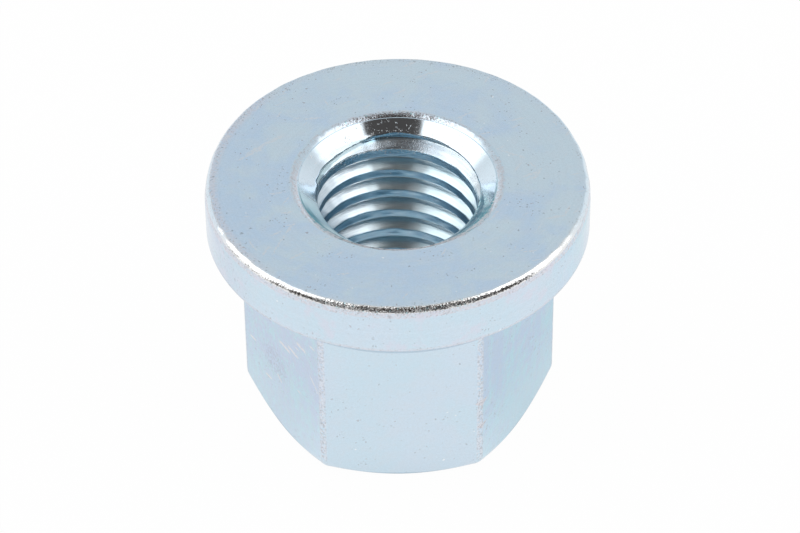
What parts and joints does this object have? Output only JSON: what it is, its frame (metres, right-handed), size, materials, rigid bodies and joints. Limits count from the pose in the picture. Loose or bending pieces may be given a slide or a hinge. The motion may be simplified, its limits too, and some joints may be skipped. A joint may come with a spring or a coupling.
{
  "type": "flange nut",
  "caption": "Tall hexagon nut with a plain round collar in one piece and a right-hand thread right through, which clamps on its collar's flat face.",
  "frame": {"origin": "centre of the hexagon's end face, on which the nut stands", "axes": "+Z along the thread to the collar's bearing face, two corners of the hexagon on the X axis, two of its flats facing -Y and +Y"},
  "size_m": [0.025, 0.025, 0.018],
  "materials": {
    "zinc_plate": "bright zinc plating with a pale blue passivation, slightly worn at the edges"
  },
  "bodies": {
    "root": {"flange_nut": "zinc_plate"}
  },
  "joints": []
}
